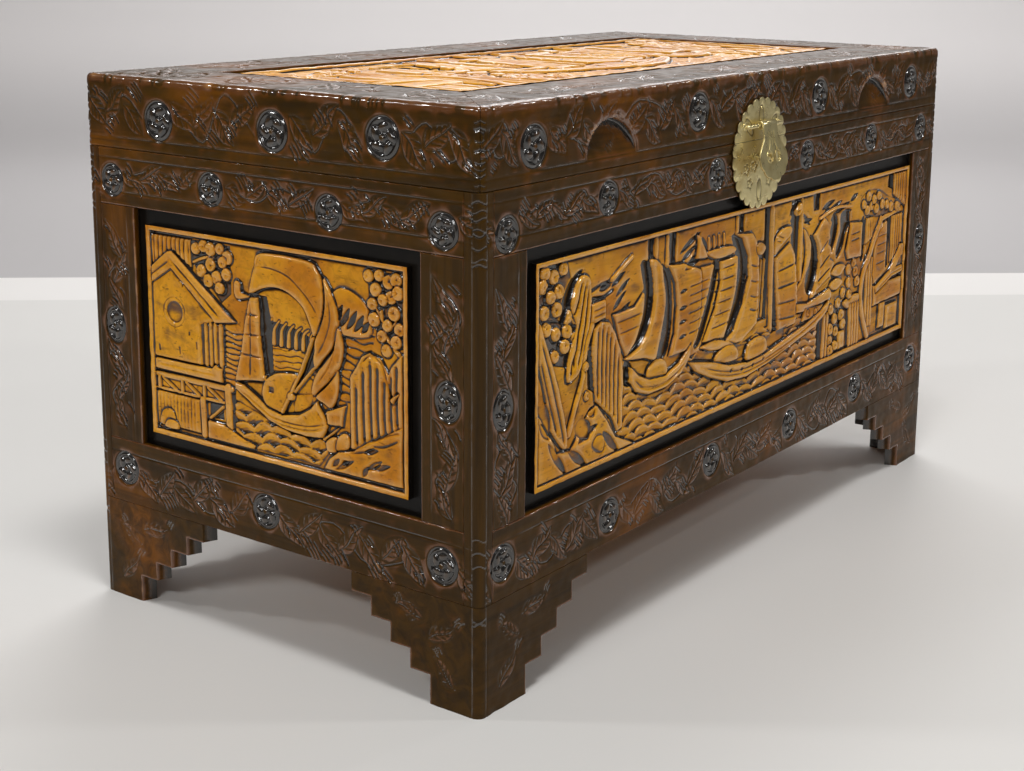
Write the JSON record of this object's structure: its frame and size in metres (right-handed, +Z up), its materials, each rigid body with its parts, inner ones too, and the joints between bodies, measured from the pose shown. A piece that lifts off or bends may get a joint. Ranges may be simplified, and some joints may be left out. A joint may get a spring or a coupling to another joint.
{
  "type": "wooden chest",
  "caption": "Long lidded storage chest of lacquered camphorwood with carved panels, stepped bracket feet and a round brass hasp lock.",
  "frame": {"origin": "bottom centre of the bounding box, on the floor, lock and hinges included", "axes": "+X along the chest's length, to the right as seen from the front; -Y out of the front with the lock; +Z up"},
  "size_m": [1.016, 0.5604, 0.575],
  "materials": {
    "lacquered_wood": "dark brown lacquer, glossy, worn on the edges",
    "ebonised_wood": "black satin",
    "carved_wood": "amber varnish, satin gloss, dark in the cuts",
    "camphor_wood": "bare planed wood",
    "brass": "aged, semi-bright"
  },
  "bodies": {
    "case": {"bottom_rail_back": "lacquered_wood", "bottom_rail_front": "lacquered_wood", "bottom_rail_left": "lacquered_wood", "bottom_rail_right": "lacquered_wood", "carved_panel_front": "carved_wood", "carved_panel_left": "carved_wood", "carved_panel_right": "carved_wood", "cleat_back": "camphor_wood", "cleat_front": "camphor_wood", "corner_post_back_left": "lacquered_wood", "corner_post_back_right": "lacquered_wood", "corner_post_front_left": "lacquered_wood", "corner_post_front_right": "lacquered_wood", "floor_board_back": "camphor_wood", "floor_board_front": "camphor_wood", "foot_back_left": "lacquered_wood", "foot_back_right": "lacquered_wood", "foot_front_left": "lacquered_wood", "foot_front_right": "lacquered_wood", "hinge_left_case_leaf": "brass", "hinge_left_pin": "brass", "hinge_right_case_leaf": "brass", "hinge_right_pin": "brass", "lip_front": "camphor_wood", "lip_left": "camphor_wood", "lip_right": "camphor_wood", "lock_plate_lower": "brass", "lock_staple": "brass", "stile_back_left": "lacquered_wood", "stile_back_right": "lacquered_wood", "stile_front_left": "lacquered_wood", "stile_front_right": "lacquered_wood", "stile_left_back": "lacquered_wood", "stile_left_front": "lacquered_wood", "stile_right_back": "lacquered_wood", "stile_right_front": "lacquered_wood", "top_rail_back": "lacquered_wood", "top_rail_front": "lacquered_wood", "top_rail_left": "lacquered_wood", "top_rail_right": "lacquered_wood", "wall_board_back": "ebonised_wood", "wall_board_front": "ebonised_wood", "wall_board_left": "ebonised_wood", "wall_board_right": "ebonised_wood"},
    "lid": {"carved_panel_lid": "carved_wood", "hasp_bar": "brass", "hinge_left_lid_leaf": "brass", "hinge_right_lid_leaf": "brass", "lid_board": "ebonised_wood", "lid_frame_back": "lacquered_wood", "lid_frame_front": "lacquered_wood", "lid_frame_left": "lacquered_wood", "lid_frame_right": "lacquered_wood", "lid_rail_back": "lacquered_wood", "lid_rail_front": "lacquered_wood", "lid_rail_left": "lacquered_wood", "lid_rail_right": "lacquered_wood", "lock_plate_upper": "brass"},
    "hasp": {"hasp": "brass"}
  },
  "joints": [
    {"name": "lid_hinge", "type": "hinge", "parent": "case", "child": "lid", "pos_m": [0, 0.27663, 0.4992], "axis": [-1, 0, 0], "range_deg": [0, 95]},
    {"name": "hasp_hinge", "type": "hinge", "parent": "lid", "child": "hasp", "pos_m": [0, -0.26437, 0.516], "axis": [-1, 0, 0], "range_deg": [0, 120]}
  ]
}
